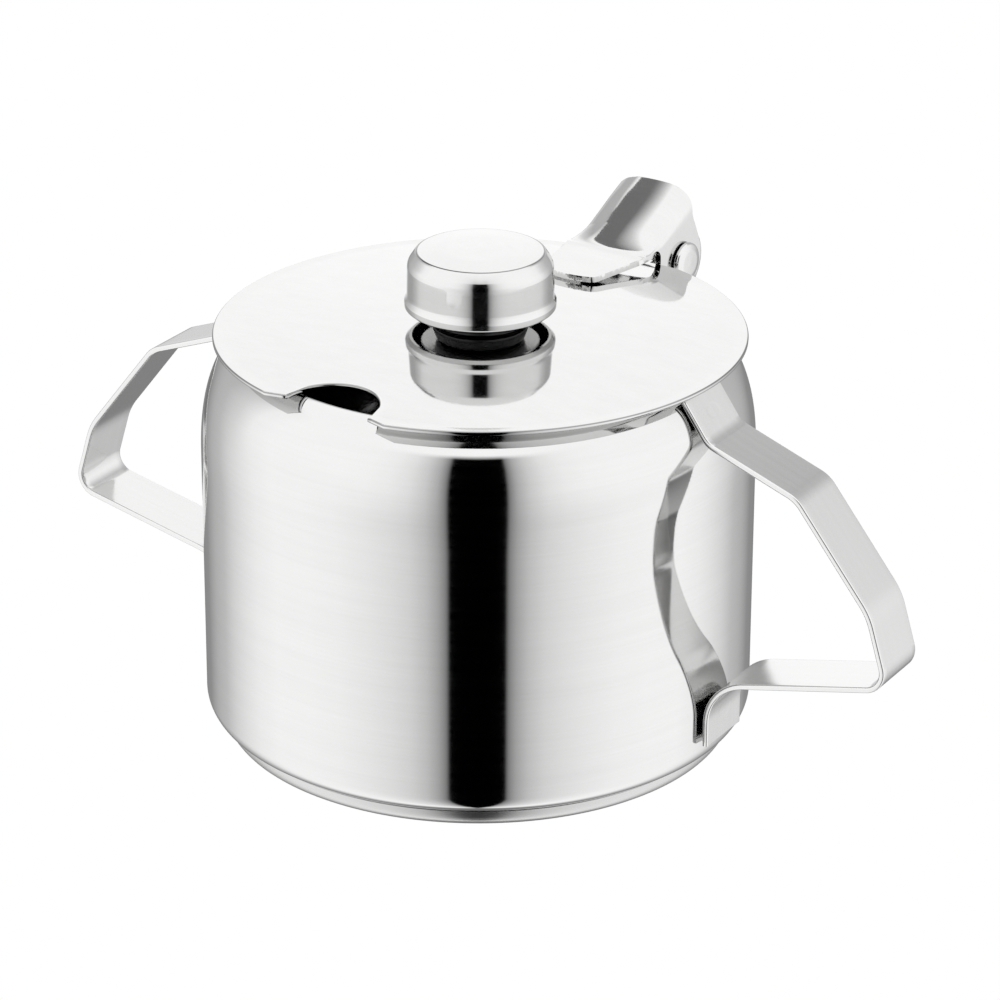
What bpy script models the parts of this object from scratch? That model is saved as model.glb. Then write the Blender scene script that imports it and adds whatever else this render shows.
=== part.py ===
"""Sugar bowl in stainless steel sheet: a drum-shaped bowl with a rounded
shoulder, two bent strap handles, and a flat hinged lid with a spoon notch,
a hollow pressed knob and a hooded hinge at the back.

Frame: metres, +Z up.  The origin is the middle of the flat underside, on the
table.  The hinge is towards +Y, the spoon notch towards -Y, and the handles
stand out along +X and -X, turned HANDLE_YAW degrees about Z.
"""
import math

import bmesh
import bpy
from mathutils import Matrix, Vector

for old in list(bpy.data.objects):
    bpy.data.objects.remove(old, do_unlink=True)

# ---- driving dimensions, in millimetres and degrees -------------------------
# A name in _Z is a height above the table, one in _DZ a height above the top
# side of the lid's rim.
MM = 0.001
GAP = 0.3                   # between touching sheets and cut pieces
SHEET = 0.8                 # bowl, base, lid and knob sheet

# bowl
WALL_R = 47.0               # outer radius of the straight wall
MOUTH_R = 38.7              # radius of the cut mouth edge
SHOULDER_Z = 50.0           # where the straight wall ends
SHOULDER_TOP = 70.7         # height the shoulder curve would reach
SHOULDER_CR = 35.2          # centre radius of the shoulder curve
SHOULDER_N = 2.4            # fullness of the shoulder curve (2 = ellipse)
FOOT_Z = 3.5                # underside of the turned-in bottom edge
FOOT_FILLET = 3.4
FOOT_R = WALL_R - FOOT_FILLET   # inner radius of the turned-in bottom edge

# base
BASE_R = 44.2
BASE_FILLET = 2.7
BASE_RIM_TOP = FOOT_Z - GAP
FLANGE_R = FOOT_R - GAP     # locating flange inside the bowl's bottom edge
FLANGE_TOP = 6.0
PAN_FILLET = 1.8            # between the flange and the pan's floor

# lid
LID_R = 45.0
LID_Z = 71.2                # top side of the lid's rim
LID_SHIFT = 0.5             # the lid sits this far towards the hinge
DOME_RISE = 1.5
DOME_R = 42.6               # where the dome meets the narrow flat rim
LID_EDGE = 0.25             # edge chamfer
NOTCH_Y = 41.9              # notch circle's distance from the lid's middle
NOTCH_TIP = 10.9            # half angle of the two horns
NOTCH_TIP_R = 43.2
NOTCH_MOUTH = 15.5          # half angle of the notch at the rim
NOTCH_YAW = -0.9            # the notch is not quite opposite the hinge
REAR_FLAT_Y = 44.0          # the rim is trimmed straight beside the hinge
REAR_TAB_W = 6.3            # half width of the untrimmed tab between the cheeks
RELIEF_OUT_X = 16.0         # outer side and far end of the trimming blocks
RELIEF_FAR_Y = 50.0
LID_CUT = 6.0               # cutters reach this far above and below the rim

# pin
PIN_Y = 51.7
PIN_DZ = -1.9
PIN_Z = LID_Z + PIN_DZ
PIN_R = 1.5
HINGE_AT = (0.0, PIN_Y, PIN_Z)  # origin of everything that swings with the lid

# handles
STRAP_W = 11.8
STRAP_T = 1.0
HANDLE_YAW = 3.6

# base colours
POLISHED = (0.80, 0.80, 0.80)
BRUSHED = (0.74, 0.74, 0.73)
BASE_GREY = (0.66, 0.66, 0.66)
SCREW_GREY = (0.64, 0.64, 0.64)
WASHER_GREY = (0.62, 0.62, 0.62)
NUT_GREY = (0.6, 0.6, 0.6)
BLACK = (0.015, 0.015, 0.016)


def material(name, color, roughness, metallic=1.0):
    mat = bpy.data.materials.new(name)
    mat.use_nodes = True
    shader = mat.node_tree.nodes["Principled BSDF"]
    shader.inputs["Base Color"].default_value = (*color, 1.0)
    shader.inputs["Roughness"].default_value = roughness
    shader.inputs["Metallic"].default_value = metallic
    mat.diffuse_color = (*color, 1.0)
    return mat


# ---- outline helpers --------------------------------------------------------
def filleted(corners, steps):
    """A path through (a, b, radius) corners, each corner rounded by its radius."""
    path = []
    last = len(corners) - 1
    for i, (a, b, radius) in enumerate(corners):
        corner = Vector((a, b))
        if radius <= 0 or i in (0, last):
            path.append(corner)
            continue
        before = (Vector(corners[i - 1][:2]) - corner).normalized()
        after = (Vector(corners[i + 1][:2]) - corner).normalized()
        half = before.angle(after) / 2
        reach = radius / math.tan(half)
        centre = corner + (before + after).normalized() * (radius / math.sin(half))
        start = corner + before * reach - centre
        end = corner + after * reach - centre
        start_angle = math.atan2(start.y, start.x)
        turn = math.atan2(end.y, end.x) - start_angle
        turn = (turn + math.pi) % (2 * math.pi) - math.pi
        for k in range(steps + 1):
            angle = start_angle + turn * k / steps
            path.append(centre + Vector((math.cos(angle), math.sin(angle))) * radius)
    return path


def beside(path, distance):
    """The path moved sideways, to its left for a positive distance."""
    moved = []
    for i, point in enumerate(path):
        directions = []
        if i > 0:
            directions.append((point - path[i - 1]).normalized())
        if i < len(path) - 1:
            directions.append((path[i + 1] - point).normalized())
        normals = [Vector((-d.y, d.x)) for d in directions]
        mitre = sum(normals, Vector((0, 0))).normalized()
        moved.append(point + mitre * (distance / mitre.dot(normals[0])))
    return moved


def polar(radius, degrees):
    angle = math.radians(degrees)
    return Vector((radius * math.cos(angle), radius * math.sin(angle)))


def arc(centre_a, centre_b, radius, start, end, steps):
    """Points on an arc, angles in degrees."""
    centre = Vector((centre_a, centre_b))
    return [centre + polar(radius, start + (end - start) * k / steps)
            for k in range(steps + 1)]


def rectangle(a_low, a_high, b_low, b_high):
    return [(a_low, b_low), (a_high, b_low), (a_high, b_high), (a_low, b_high)]


# ---- mesh helpers -----------------------------------------------------------
def finish(name, bm, mat=None, smooth=35.0, at=(0.0, 0.0, 0.0)):
    """Turns bm, in millimetres and in world places, into an object whose
    origin is at the point given.  Edges bent more than smooth degrees are sharp."""
    bmesh.ops.remove_doubles(bm, verts=bm.verts, dist=1e-4)
    bmesh.ops.recalc_face_normals(bm, faces=bm.faces)
    origin = Vector(at)
    for v in bm.verts:
        v.co = (v.co - origin) * MM
    mesh = bpy.data.meshes.new(name)
    bm.to_mesh(mesh)
    bm.free()
    mesh.shade_smooth()
    mesh.set_sharp_from_angle(angle=math.radians(smooth))
    obj = bpy.data.objects.new(name, mesh)
    obj.location = origin * MM
    bpy.context.scene.collection.objects.link(obj)
    if mat:
        mesh.materials.append(mat)
    return obj


def turned(profile, segments, closed=True):
    """bmesh of a profile of (radius, height) spun about Z.  An open profile
    starts and ends on the axis."""
    bm = bmesh.new()
    verts = [bm.verts.new((p[0], 0.0, p[1])) for p in profile]
    pairs = list(zip(verts, verts[1:]))
    if closed:
        pairs.append((verts[-1], verts[0]))
    edges = [bm.edges.new(pair) for pair in pairs]
    bmesh.ops.spin(bm, geom=verts + edges, cent=(0, 0, 0), axis=(0, 0, 1),
                   angle=2 * math.pi, steps=segments, use_merge=True)
    return bm


PLACE_ALONG = {
    "X": lambda p, along: (along, p[0], p[1]),
    "Y": lambda p, along: (p[0], along, p[1]),
    "Z": lambda p, along: (p[0], p[1], along),
}


def prism(outline, low, high, axis="Z"):
    """bmesh of a flat outline extruded from low to high along an axis.  The
    outline is (y, z) for X, (x, z) for Y and (x, y) for Z."""
    place = PLACE_ALONG[axis]
    bm = bmesh.new()
    face = bm.faces.new([bm.verts.new(place(p, low)) for p in outline])
    grown = bmesh.ops.extrude_face_region(bm, geom=[face])
    far_end = [g for g in grown["geom"] if isinstance(g, bmesh.types.BMVert)]
    bmesh.ops.translate(bm, vec=place((0.0, 0.0), high - low), verts=far_end)
    return bm


def bar(radius, low, high, segments, centre=(0.0, 0.0), axis="Z"):
    """bmesh of a regular bar along an axis; the centre is given as in prism."""
    outline = []
    for k in range(segments):
        angle = 2 * math.pi * k / segments
        outline.append((centre[0] + radius * math.cos(angle),
                        centre[1] + radius * math.sin(angle)))
    return prism(outline, low, high, axis)


def lofted(sections):
    """bmesh through equal-length closed sections of 3-D points, ends capped."""
    bm = bmesh.new()
    rings = [[bm.verts.new(p) for p in section] for section in sections]
    count = len(rings[0])
    for ring, following in zip(rings, rings[1:]):
        for k in range(count):
            m = (k + 1) % count
            bm.faces.new((ring[k], ring[m], following[m], following[k]))
    bm.faces.new(rings[0][::-1])
    bm.faces.new(rings[-1])
    return bm


def cut(obj, tool_name, tool_bm, operation="DIFFERENCE"):
    """Makes a hidden tool of tool_bm and gives obj a boolean with it."""
    tool = finish(tool_name, tool_bm)
    tool.hide_render = True
    tool.display_type = "WIRE"
    mod = obj.modifiers.new(operation.lower() + "_" + tool.name, "BOOLEAN")
    mod.operation = operation
    mod.solver = "EXACT"
    mod.object = tool


def on_lid(bm):
    """Moves a piece made about Z to the lid's own middle."""
    bmesh.ops.translate(bm, vec=(0, LID_SHIFT, 0), verts=bm.verts)
    return bm


def lid_piece(name, bm, mat, smooth=35.0):
    """A piece made about Z that is centred on the lid and swings with it."""
    return finish(name, on_lid(bm), mat, smooth, at=HINGE_AT)


# ---- bowl body: drawn shell, open at the mouth and at the foot --------------
def body_outer():
    """Outer profile from the mouth edge down to the turned-in bottom edge."""
    steps = 9
    spread = WALL_R - SHOULDER_CR
    rise = SHOULDER_TOP - SHOULDER_Z
    mouth_angle = math.acos(((MOUTH_R - SHOULDER_CR) / spread) ** (SHOULDER_N / 2))
    path = []
    for k in range(steps + 1):
        angle = mouth_angle * (1 - k / steps)
        path.append(Vector((SHOULDER_CR + spread * math.cos(angle) ** (2 / SHOULDER_N),
                            SHOULDER_Z + rise * math.sin(angle) ** (2 / SHOULDER_N))))
    foot = filleted([(WALL_R, SHOULDER_Z, 0), (WALL_R, FOOT_Z, FOOT_FILLET),
                     (FOOT_R, FOOT_Z, 0)], 4)
    # the ends repeat the shoulder's last point and the fillet's
    return path + foot[1:-1]


def make_bowl_body():
    outer = body_outer()
    inner = beside(outer, -SHEET)
    finish("bowl_body", turned(outer + inner[::-1], 48),
           material("bowl_body", POLISHED, roughness=0.12))


# ---- bowl base: pressed pan, flat underside, flange inside the bottom edge --
def make_bowl_base():
    flange_in = FLANGE_R - SHEET
    profile = filleted([(0, 0, 0), (BASE_R, 0, BASE_FILLET), (BASE_R, BASE_RIM_TOP, 0)], 4)
    profile += [(FLANGE_R, BASE_RIM_TOP), (FLANGE_R, FLANGE_TOP)]
    profile += filleted([(flange_in, FLANGE_TOP, 0), (flange_in, SHEET, PAN_FILLET),
                         (0, SHEET, 0)], 3)
    finish("bowl_base", turned(profile, 48, closed=False),
           material("bowl_base", BASE_GREY, roughness=0.3))


# ---- lid: thin shallow dome with a narrow flat rim, notch and screw hole ----
SCREW_HOLE_R = 2.3          # also the bore of the pieces stacked on the screw


def dome(radius):
    """Height of the lid's top side above its rim."""
    return DOME_RISE * (1 - (min(radius, DOME_R) / DOME_R) ** 2)


def notch_outline():
    """Round notch whose two horns are trimmed off towards the rim, toward -Y."""
    tip_right = polar(NOTCH_TIP_R, -90 + NOTCH_TIP)
    tip_left = polar(NOTCH_TIP_R, -90 - NOTCH_TIP)
    rim_right = polar(LID_R, -90 + NOTCH_MOUTH)
    rim_left = polar(LID_R, -90 - NOTCH_MOUTH)
    spoke = tip_right - Vector((0, -NOTCH_Y))
    start = math.degrees(math.atan2(spoke.y, spoke.x))
    overrun = 3.0               # the trims run on this far past the rim
    outside_x, outside_y = 9.0, -LID_R - 6.0
    path = arc(0, -NOTCH_Y, spoke.length, start, 180 - start, 22)
    path += [
        rim_left + (rim_left - tip_left).normalized() * overrun,
        Vector((-outside_x, outside_y)),
        Vector((outside_x, outside_y)),
        rim_right + (rim_right - tip_right).normalized() * overrun,
    ]
    turn = Matrix.Rotation(math.radians(NOTCH_YAW), 2)
    return [turn @ p + Vector((0, LID_SHIFT)) for p in path]


def make_lid():
    radii = [SCREW_HOLE_R] + [DOME_R * k / 4 for k in range(1, 5)]
    top = [(r, LID_Z + dome(r)) for r in radii]
    edge = [(LID_R - LID_EDGE, LID_Z), (LID_R, LID_Z - LID_EDGE),
            (LID_R, LID_Z - SHEET + LID_EDGE), (LID_R - LID_EDGE, LID_Z - SHEET)]
    underside = [(r, z - SHEET) for r, z in reversed(top)]
    lid = lid_piece("lid", turned(top + edge + underside, 60),
                    material("lid", POLISHED, roughness=0.10))
    low, high = LID_Z - LID_CUT, LID_Z + LID_CUT
    cut(lid, "lid_notch_cutter", prism(notch_outline(), low, high))
    for name, side in (("left", -1), ("right", 1)):
        relief = rectangle(side * REAR_TAB_W, side * RELIEF_OUT_X, REAR_FLAT_Y, RELIEF_FAR_Y)
        cut(lid, "lid_relief_" + name + "_cutter", prism(relief, low, high))


# ---- knob: hollow pressed cap, closing cup, weld nut, spacer and screw ------
KNOB_LIP_R = 12.8           # bead round the knob's lower edge
KNOB_WALL_R = 12.4
KNOB_TOP_R = 10.9           # edge of the slightly domed top, where the shoulder begins
KNOB_LIP_Z = LID_Z + 3.8
KNOB_TOP_Z = LID_Z + 14.5
BEAD_TOP = 2.3              # the bead's top above the lip
CUP_R = 10.2                # a shadow gap shows between the cup and the cap
CUP_LOW = KNOB_LIP_Z + 0.9  # the cup sits this far up inside the lip
CUP_HIGH = KNOB_TOP_Z - 2.0
CUP_EDGE = 0.3              # chamfer round the cup's bottom
NUT_FLATS = 7.0             # across the flats
NUT_H = 3.2
NUT_LOW = CUP_LOW + SHEET + GAP
SPACER_R = 8.1
SPACER_LOW = LID_Z + DOME_RISE + GAP
SPACER_HIGH = CUP_LOW - GAP
WASHER_R = 4.5
WASHER_T = 0.8
WASHER_HIGH = LID_Z + DOME_RISE - SHEET - GAP
SCREW_R = 2.0
SCREW_TIP = 0.4             # chamfer at the screw's top end
SCREW_TOP = NUT_LOW + NUT_H + 0.9
HEAD_R = 4.0                # screw head, under the washer
HEAD_HIGH = WASHER_HIGH - WASHER_T - GAP
HEAD_SIDE = 0.8             # straight side of the head
HEAD_ROUND = 1.6            # rounding below it
RECESS_HALF_L = 2.0         # cross recess: half length and half width of a slot
RECESS_HALF_W = 0.42
RECESS_HIGH = HEAD_HIGH - 1.1


def make_knob_cap():
    top, lip = KNOB_TOP_Z, KNOB_LIP_Z
    # corners are (radius, height, fillet)
    wall = filleted([
        (0, top, 0),
        (KNOB_TOP_R * 0.8, top - 0.2, 8.0),
        (KNOB_TOP_R, top - 0.7, 0.6),
        (KNOB_WALL_R - 0.1, top - 2.6, 2.6),
        (KNOB_WALL_R, lip + BEAD_TOP, 0),
    ], 3)
    bead = filleted([
        (KNOB_WALL_R, lip + BEAD_TOP, 0),
        (KNOB_LIP_R, lip + 1.6, 0.5),
        (KNOB_LIP_R, lip + 0.6, 0.5),
        (KNOB_LIP_R - 0.75, lip, 0),
    ], 2)[1:]
    inner = beside(wall[1:], -SHEET)[:-1] + [(KNOB_WALL_R - SHEET, lip)]
    profile = wall + bead + inner[::-1] + [(0, top - SHEET)]
    lid_piece("knob_cap", turned(profile, 32, closed=False),
              material("knob_cap", POLISHED, roughness=0.08))


def make_knob_plate():
    """The cup that closes the cap from below."""
    profile = [
        (SCREW_HOLE_R, CUP_LOW + SHEET), (CUP_R - SHEET, CUP_LOW + SHEET),
        (CUP_R - SHEET, CUP_HIGH), (CUP_R, CUP_HIGH),
        (CUP_R, CUP_LOW + CUP_EDGE), (CUP_R - CUP_EDGE, CUP_LOW), (SCREW_HOLE_R, CUP_LOW),
    ]
    lid_piece("knob_plate", turned(profile, 32),
              material("knob_plate", BRUSHED, roughness=0.3))


def make_knob_nut():
    corner_r = NUT_FLATS / 2 / math.cos(math.pi / 6)
    nut = lid_piece("knob_weld_nut", bar(corner_r, NUT_LOW, NUT_LOW + NUT_H, segments=6),
                    material("knob_weld_nut", NUT_GREY, roughness=0.35), smooth=20)
    cut(nut, "nut_bore_cutter",
        on_lid(bar(SCREW_HOLE_R, NUT_LOW - 1, NUT_LOW + 5, segments=24)))


def make_knob_spacer():
    """Black disc between the lid and the cup."""
    profile = [
        (SCREW_HOLE_R, SPACER_HIGH), (SPACER_R - 0.9, SPACER_HIGH),
        (SPACER_R - 0.35, SPACER_HIGH - 0.4), (SPACER_R, SPACER_LOW + 0.5),
        (SPACER_R, SPACER_LOW), (SCREW_HOLE_R, SPACER_LOW),
    ]
    lid_piece("knob_spacer", turned(profile, 32),
              material("knob_spacer", BLACK, roughness=0.45, metallic=0.0))


def make_knob_washer():
    profile = rectangle(SCREW_HOLE_R, WASHER_R, WASHER_HIGH - WASHER_T, WASHER_HIGH)
    lid_piece("knob_washer", turned(profile, 24),
              material("knob_washer", WASHER_GREY, roughness=0.3))


def make_knob_screw():
    """Screw up through the lid into the nut, its head under the washer."""
    profile = [(0, SCREW_TOP), (SCREW_R - SCREW_TIP, SCREW_TOP),
               (SCREW_R, SCREW_TOP - SCREW_TIP), (SCREW_R, HEAD_HIGH), (HEAD_R, HEAD_HIGH)]
    profile += arc(HEAD_R - HEAD_ROUND, HEAD_HIGH - HEAD_SIDE, HEAD_ROUND, 0, -80, 4)
    profile += [(0, HEAD_HIGH - HEAD_SIDE - HEAD_ROUND)]
    screw = lid_piece("knob_screw", turned(profile, 24, closed=False),
                      material("knob_screw", SCREW_GREY, roughness=0.25), smooth=40)
    for name, half_x, half_y in (("a", RECESS_HALF_L, RECESS_HALF_W),
                                 ("b", RECESS_HALF_W, RECESS_HALF_L)):
        slot = rectangle(-half_x, half_x, -half_y, half_y)
        cut(screw, "screw_recess_" + name + "_cutter",
            on_lid(prism(slot, HEAD_HIGH - 4, RECESS_HIGH)))


# ---- handles: flat strap bent in one plane ----------------------------------
def strap_outline():
    """Side view of the strap, (distance from the bowl's axis, height): the
    outer face as a bent line with its bend radii, and the inner face STRAP_T
    behind it.  It starts on the shoulder under the lid's rim, leaves the bowl
    with a gentle downward slope, drops steeply, turns back tightly, and runs
    in to a tab on the lower wall."""
    tab_r = WALL_R + GAP + STRAP_T
    # distance, height, bend radius
    face = filleted([
        (42.6, 69.4, 0),            # end of the upper tab
        (47.2, 62.9, 3.5),          # leaves the shoulder
        (63.6, 56.8, 6.0),          # outer top bend
        (77.5, 39.2, 12.0),         # steepens
        (81.4, 26.3, 4.0),          # lowest outer corner
        (tab_r, 18.8, 8.0),         # turns down on to the wall
        (tab_r, 7.9, 0),            # end of the lower tab
    ], 6)
    return face + beside(face, -STRAP_T)[::-1]


def make_handle(name, yaw):
    bm = prism(strap_outline(), -STRAP_W / 2, STRAP_W / 2, "Y")
    turn = Matrix.Rotation(math.radians(yaw), 3, "Z")
    bmesh.ops.rotate(bm, cent=(0, 0, 0), matrix=turn, verts=bm.verts)
    finish(name, bm, material(name, BRUSHED, roughness=0.28), smooth=40)


# ---- hinge hood: one pressed sheet, tongue, arched roof and two cheeks ------
HOOD_W = 7.9                # half width
HOOD_FRONT_W = 5.6          # half width at the tongue's front edge
HOOD_T = 1.0
HOOD_FRONT_Y = 25.8
HOOD_FRONT_ARC = 15.0       # radius of the tongue's front edge
HOOD_FOLD_Y = 38.8          # where the roof rises from the tongue
FOLD_SOFT = 1.5             # the fold is rounded this far to each side
TONGUE_SLOPE = 0.0246       # rise per mm towards the hinge
HOOD_REAR_Y = 54.5
HOOD_REAR_DZ = 11.05
HOOD_ARCH = 4.8             # height of the arch above its straight cheeks, at the rear
HOOD_ARCH_N = 2.2           # fullness of the arch (2 = ellipse)
LEG_DZ = -12.0              # the arch's legs reach down to here before trimming
CHEEK_FRONT_Y = 44.35
CHEEK_FILLET = 5.2          # from the cheek's front edge into the lobe
LOBE_R = 6.0                # cheek lobe about the pin
HOLLOW = (54.85, 5.3, 4.0)  # corner of the hollowed back: y, DZ, fillet
TRIM_TOP_DZ = 16.0          # the side trim reaches above the roof
SIDE_REACH = 12.0           # cutters reach this far to each side


def under_tongue(y):
    """Underside of the tongue above the lid's rim."""
    return dome(HOOD_FRONT_Y - LID_SHIFT) + GAP + (y - HOOD_FRONT_Y) * TONGUE_SLOPE


def roof(y):
    """Top of the tongue and crown of the roof above the lid's rim."""
    fold = under_tongue(HOOD_FOLD_Y) + HOOD_T
    slope = (HOOD_REAR_DZ - fold) / (HOOD_REAR_Y - HOOD_FOLD_Y)
    if y < HOOD_FOLD_Y - FOLD_SOFT:
        return under_tongue(y) + HOOD_T
    if y < HOOD_FOLD_Y + FOLD_SOFT:
        t = (y - HOOD_FOLD_Y + FOLD_SOFT) / (2 * FOLD_SOFT)
        before = under_tongue(HOOD_FOLD_Y - FOLD_SOFT) + HOOD_T
        after = fold + slope * FOLD_SOFT
        return (1 - t) ** 2 * before + 2 * t * (1 - t) * fold + t * t * after
    return fold + slope * (y - HOOD_FOLD_Y)


def fraction(y, start, end):
    """How far y is from start to end, held between 0 and 1."""
    return min(max((y - start) / (end - start), 0.0), 1.0)


def arch(y, inset):
    """Closed section of the hood at y: an arch standing on straight legs."""
    steps = 7
    grow = fraction(y, HOOD_FOLD_Y, HOOD_REAR_Y)
    rise = max(min(HOOD_ARCH * grow ** 0.5, roof(y) - under_tongue(y) - HOOD_T), 0.1)
    flare = fraction(y, HOOD_FRONT_Y, HOOD_FOLD_Y)
    width = HOOD_FRONT_W + (HOOD_W - HOOD_FRONT_W) * flare - inset
    top = LID_Z + roof(y) - inset
    if inset and y < HOOD_FOLD_Y + 0.8:
        top -= 0.5              # keeps the inside cutter clear of the tongue
    power = 2 / HOOD_ARCH_N
    ring = [Vector((width, y, LID_Z + LEG_DZ - inset))]
    for k in range(steps):
        angle = math.pi / 2 * k / steps
        ring.append(Vector((width * math.cos(angle) ** power, y,
                            top - rise + rise * math.sin(angle) ** power)))
    crown = Vector((0.0, y, top))
    mirror = [Vector((-p.x, p.y, p.z)) for p in reversed(ring)]
    return ring + [crown] + mirror


def hood_loft(low, high, inset):
    """Arches from y low to high, closer together at the fold."""
    fold = [HOOD_FOLD_Y - FOLD_SOFT + FOLD_SOFT / 2 * k for k in range(5)]
    rising = [HOOD_FOLD_Y + 2.9 + 1.55 * k for k in range(4)]
    return lofted([arch(y, inset) for y in [low] + fold + rising + [high]])


def hood_side():
    """Side view (y, z) of what the sheet keeps: the tongue's underside, the
    cheek's front edge, its round lobe about the pin, and its hollowed back."""
    start_y = HOOD_FRONT_Y - 3
    lobe_low = PIN_DZ - LOBE_R
    front = filleted([
        (start_y, under_tongue(start_y), 0),
        (CHEEK_FRONT_Y, under_tongue(CHEEK_FRONT_Y), 1.0),
        (CHEEK_FRONT_Y, lobe_low, CHEEK_FILLET),
        (PIN_Y, lobe_low, 0),
    ], 5)
    lobe = arc(PIN_Y, PIN_DZ, LOBE_R, -90, 36, 9)[1:]
    back = filleted([(*lobe[-1], 0), HOLLOW, (HOOD_REAR_Y, 9.0, 0)], 4)[1:]
    above = [(HOOD_REAR_Y - 0.1, TRIM_TOP_DZ), (start_y, TRIM_TOP_DZ)]
    return [(p[0], p[1] + LID_Z) for p in front + lobe + back + above]


def tongue_front():
    """What is cut away in front of the tongue; its front edge is a shallow arc."""
    edge = arc(0, HOOD_FRONT_Y + HOOD_FRONT_ARC, HOOD_FRONT_ARC, -90 - 28, -90 + 28, 10)
    clear_y = HOOD_FRONT_Y - 6
    return ([(-SIDE_REACH, clear_y), (-SIDE_REACH, edge[0].y)] + edge
            + [(SIDE_REACH, edge[-1].y), (SIDE_REACH, clear_y)])


def make_hinge_hood():
    hood = finish("hinge_hood", hood_loft(HOOD_FRONT_Y - 1, 59.0, inset=0.0),
                  material("hinge_hood", POLISHED, roughness=0.10), at=HINGE_AT)
    cut(hood, "hood_inside_cutter", hood_loft(HOOD_FRONT_Y - 2, 60.0, inset=HOOD_T))
    cut(hood, "hood_side_cutter", prism(hood_side(), -SIDE_REACH, SIDE_REACH, "X"),
        "INTERSECT")
    cut(hood, "tongue_front_cutter", prism(tongue_front(), LID_Z - 8, LID_Z + 8))
    cut(hood, "hood_pin_hole_cutter",
        bar(PIN_R + GAP, -SIDE_REACH, SIDE_REACH, 32, (PIN_Y, PIN_Z), "X"))


# ---- hinge rivet: domed heads outside the cheeks ----------------------------
RIVET_HEAD_R = 3.6
RIVET_HEAD_H = 1.3
RIVET_RIM = 0.35            # straight side of a head, below its dome


def make_hinge_rivet():
    head_in = HOOD_W + GAP
    crown = RIVET_HEAD_H - RIVET_RIM
    ball = (RIVET_HEAD_R ** 2 + crown ** 2) / (2 * crown)
    # one half, from the shank outwards: (radius, distance from the middle)
    half = [(PIN_R, head_in), (RIVET_HEAD_R, head_in)]
    for degrees in (0, 25, 50, 72):
        radius = RIVET_HEAD_R * math.cos(math.radians(degrees))
        lift = math.sqrt(ball ** 2 - radius ** 2) - (ball - crown)
        half.append((radius, head_in + RIVET_RIM + lift))
    half.append((0, head_in + RIVET_HEAD_H))
    profile = [(r, -along) for r, along in reversed(half)] + half
    bm = turned(profile, 28, closed=False)
    along_x = Matrix.Rotation(math.pi / 2, 3, "Y")
    bmesh.ops.rotate(bm, cent=(0, 0, 0), matrix=along_x, verts=bm.verts)
    bmesh.ops.translate(bm, vec=HINGE_AT, verts=bm.verts)
    finish("hinge_rivet", bm, material("hinge_rivet", POLISHED, roughness=0.12),
           smooth=50, at=HINGE_AT)


# ---- hinge bracket: folded sheet with two ears, a pad on the wall and a stop
BRACKET_W = 6.3             # half width over the two ears
BRACKET_T = 1.2
BRACKET_LOW = 46.0          # height of the bottom edge
BRACKET_CLEAR_LOW = 44.0    # the cutters run on to here below it
BRACKET_CLEAR_HIGH = PIN_Z + 8
BOSS_R = 4.2                # ear's round top about the pin
PAD_Y = WALL_R + GAP
STOP_Y = PIN_Y + 3.0        # stop web behind the pin, meets the lid's rim when open
STOP_T = 0.9
STOP_LOW = PIN_Z - 5.0
STOP_HIGH = PIN_Z + 5.9
STOP_W = 4.0                # half width
WIDE_HIGH = PIN_Z + 1.2     # the web's lower part is wider, up to here
WIDE_W = BRACKET_W - 0.4
PIN_RUN = 0.08              # running clearance in the bores


def ear_outline():
    """Side view (y, z) of an ear."""
    foot = [(PAD_Y, BRACKET_LOW), (PAD_Y + 1.6, BRACKET_LOW), (PAD_Y + 2.6, 48.0)]
    boss = arc(PIN_Y, PIN_Z, BOSS_R, -18, 180, 12)
    return foot + boss + [(PIN_Y - BOSS_R, PIN_Z - 2.5), (PAD_Y, PIN_Z - 4.0)]


def make_hinge_bracket():
    bracket = finish("hinge_bracket", prism(ear_outline(), -BRACKET_W, BRACKET_W, "X"),
                     material("hinge_bracket", BRUSHED, roughness=0.25), smooth=30)
    between = BRACKET_W - BRACKET_T
    web_back = STOP_Y + STOP_T
    pad_back = PAD_Y + BRACKET_T
    # hollow between the ears: leaves the pad on the wall
    inside = [(pad_back, BRACKET_CLEAR_LOW), (STOP_Y, BRACKET_CLEAR_LOW),
              (STOP_Y, BRACKET_CLEAR_HIGH), (PAD_Y - 6, BRACKET_CLEAR_HIGH),
              (PAD_Y - 6, 63.0), (pad_back, 63.0)]
    cut(bracket, "bracket_inside_cutter", prism(inside, -between, between, "X"))
    for name, high, half in (("wide", WIDE_HIGH, WIDE_W), ("stop", STOP_HIGH, STOP_W)):
        web = rectangle(STOP_Y, web_back, STOP_LOW, high)
        cut(bracket, "bracket_web_" + name, prism(web, -half, half, "X"), "UNION")
    behind = rectangle(web_back, PIN_Y + 12, BRACKET_CLEAR_LOW, BRACKET_CLEAR_HIGH)
    cut(bracket, "bracket_behind_cutter", prism(behind, -between, between, "X"))
    cut(bracket, "bracket_bore_cutter",
        bar(PIN_R + PIN_RUN, -SIDE_REACH, SIDE_REACH, 28, (PIN_Y, PIN_Z), "X"))


make_bowl_body()
make_bowl_base()
make_lid()
make_knob_cap()
make_knob_plate()
make_knob_nut()
make_knob_spacer()
make_knob_washer()
make_knob_screw()
make_handle("handle_left", HANDLE_YAW + 180)
make_handle("handle_right", HANDLE_YAW)
make_hinge_hood()
make_hinge_rivet()
make_hinge_bracket()
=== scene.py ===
"""Looks for the sugar bowl: fine pieces of the same sizes as the CAD solids,
procedural steel and plastic, a white studio and the camera.

Row frame: metres, +Z up, origin in the middle of the underside, hinge towards
+Y, notch towards -Y.  Lengths below are in millimetres until a mesh is made.
"""

import math

import bmesh
import bpy
import numpy as np
from mathutils import Matrix, Vector
from mathutils.geometry import delaunay_2d_cdt


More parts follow.
